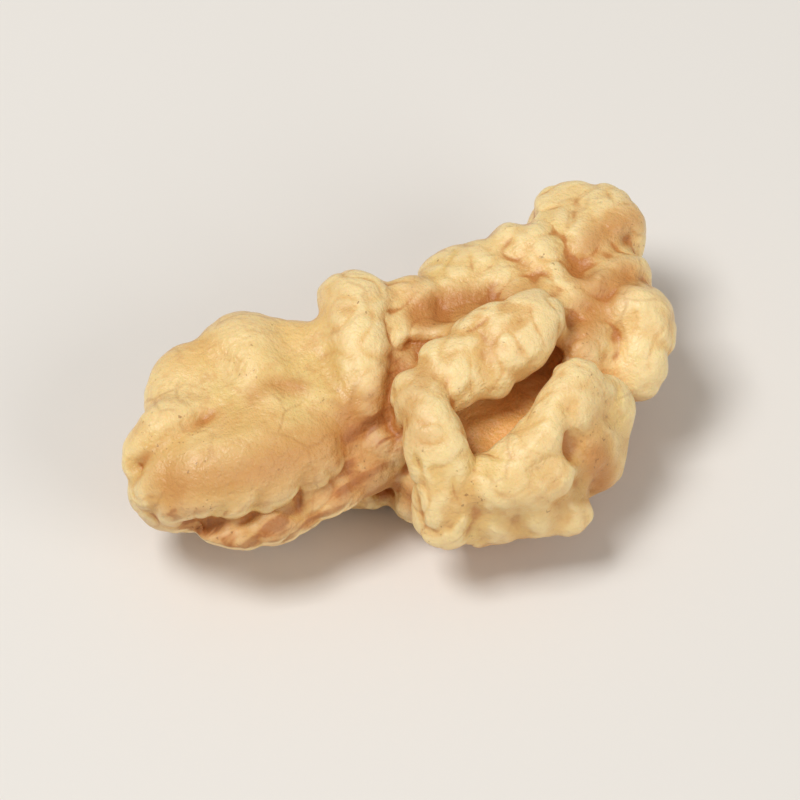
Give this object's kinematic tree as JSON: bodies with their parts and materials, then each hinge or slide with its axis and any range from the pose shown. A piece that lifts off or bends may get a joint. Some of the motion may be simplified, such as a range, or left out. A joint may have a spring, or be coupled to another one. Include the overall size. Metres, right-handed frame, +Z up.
{
  "type": "walnut kernel half",
  "caption": "Shelled walnut kernel half lying on its ribbed back, with scalloped lobes, a finger of flesh over a deep hollow and a folded keel.",
  "frame": {"origin": "centre of the base of the kernel's box, on the surface that it rests on", "axes": "+X along the kernel, from the broad lobe to the lobe with the hollow; +Z up, out of the inner face; +Y away from the front wall"},
  "size_m": [0.0352, 0.022, 0.0127],
  "materials": {
    "walnut_flesh": "soft waxy cream flesh with a thin tan skin, browner in the creases"
  },
  "bodies": {
    "root": {"kernel": "walnut_flesh"}
  },
  "joints": []
}
